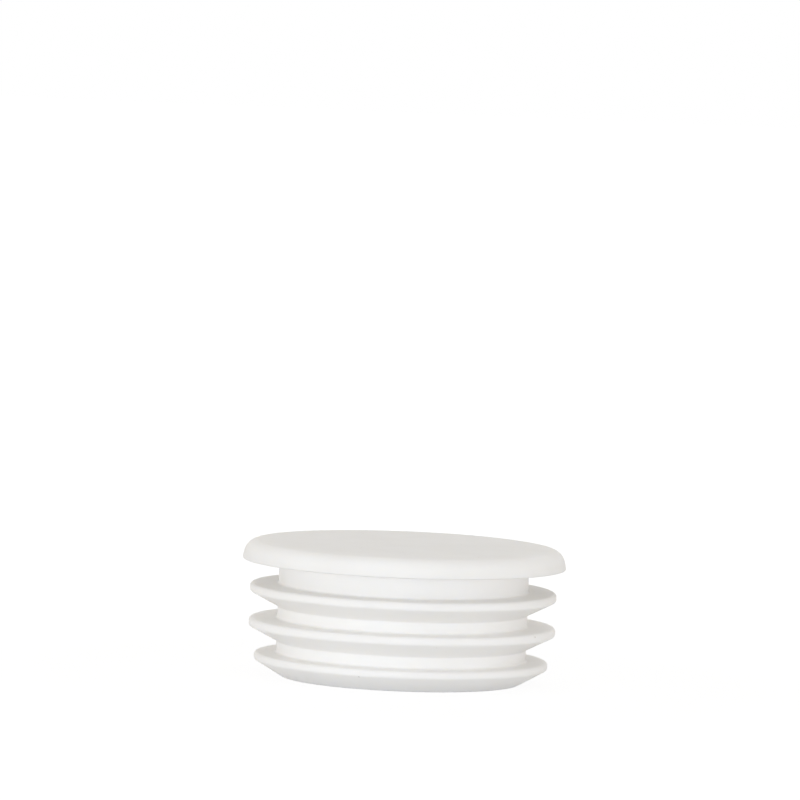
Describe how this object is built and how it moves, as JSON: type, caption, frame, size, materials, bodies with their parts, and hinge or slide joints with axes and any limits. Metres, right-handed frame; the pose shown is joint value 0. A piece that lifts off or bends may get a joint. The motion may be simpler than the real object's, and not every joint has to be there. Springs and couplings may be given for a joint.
{
  "type": "blanking plug",
  "caption": "Round push-in blanking plug: a flat head with a rounded edge over a hollow cup with flexible fins that grip the bore of a tube.",
  "frame": {"origin": "centre of the open end, on the plane that the plug stands on", "axes": "+Z along the plug's axis, from the open end up to the head; X and Y are free because the plug is round"},
  "size_m": [0.05, 0.05, 0.0209],
  "materials": {
    "white_plastic": "satin, as moulded"
  },
  "bodies": {
    "root": {"plug": "white_plastic"}
  },
  "joints": []
}
